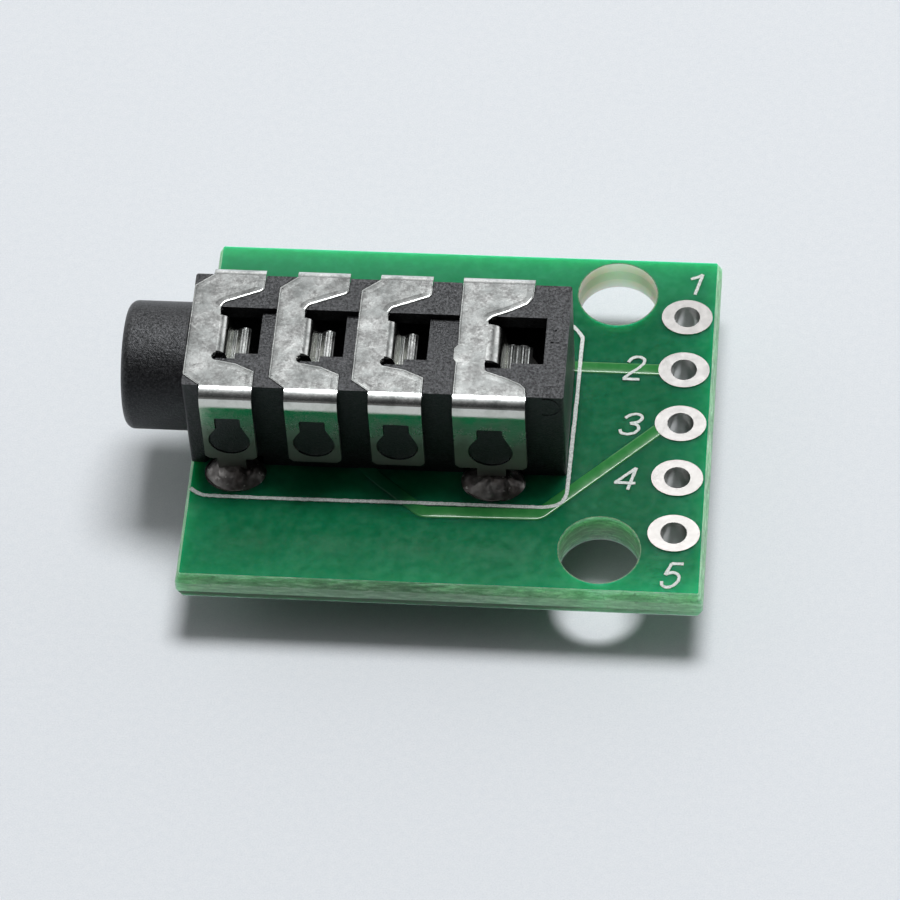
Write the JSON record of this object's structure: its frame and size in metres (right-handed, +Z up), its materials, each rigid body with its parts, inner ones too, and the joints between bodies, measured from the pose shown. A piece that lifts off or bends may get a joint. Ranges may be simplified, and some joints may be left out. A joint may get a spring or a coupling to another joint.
{
  "type": "audio jack socket board",
  "caption": "Audio jack socket with folded sheet-metal contacts, soldered to a small green breakout board with numbered header holes and screw holes.",
  "frame": {"origin": "middle of the footprint, at the tips of the solder joints that the board stands on", "axes": "+Z up, square to the board; +X along the jack's axis from its mouth to the header holes; +Y across the board, towards header hole 1"},
  "size_m": [0.0217, 0.0158, 0.0078],
  "materials": {
    "housing_plastic": "fine-grained moulded black plastic",
    "contact_sheet": "bright tin-plated spring sheet",
    "coated_board": "glossy green coating over glass-fibre laminate",
    "coated_track": "copper under glossy green coating",
    "tinned_pad": "tinned copper",
    "solder": "dull lumpy solder"
  },
  "bodies": {
    "root": {"jack_housing": "housing_plastic", "pcb_board": "coated_board", "contact_sleeve": "contact_sheet", "contact_ring_2": "contact_sheet", "contact_ring_1": "contact_sheet", "contact_tip": "contact_sheet", "contact_switch": "contact_sheet", "header_pad_1": "tinned_pad", "pin_pad_1": "tinned_pad", "track_1": "coated_track", "solder_joint_1": "solder", "header_pad_2": "tinned_pad", "pin_pad_2": "tinned_pad", "track_2": "coated_track", "solder_joint_2": "solder", "header_pad_3": "tinned_pad", "pin_pad_3": "tinned_pad", "track_3": "coated_track", "solder_joint_3": "solder", "header_pad_4": "tinned_pad", "pin_pad_4": "tinned_pad", "track_4": "coated_track", "solder_joint_4": "solder", "header_pad_5": "tinned_pad", "pin_pad_5": "tinned_pad", "track_5": "coated_track", "solder_joint_5": "solder"}
  },
  "joints": []
}
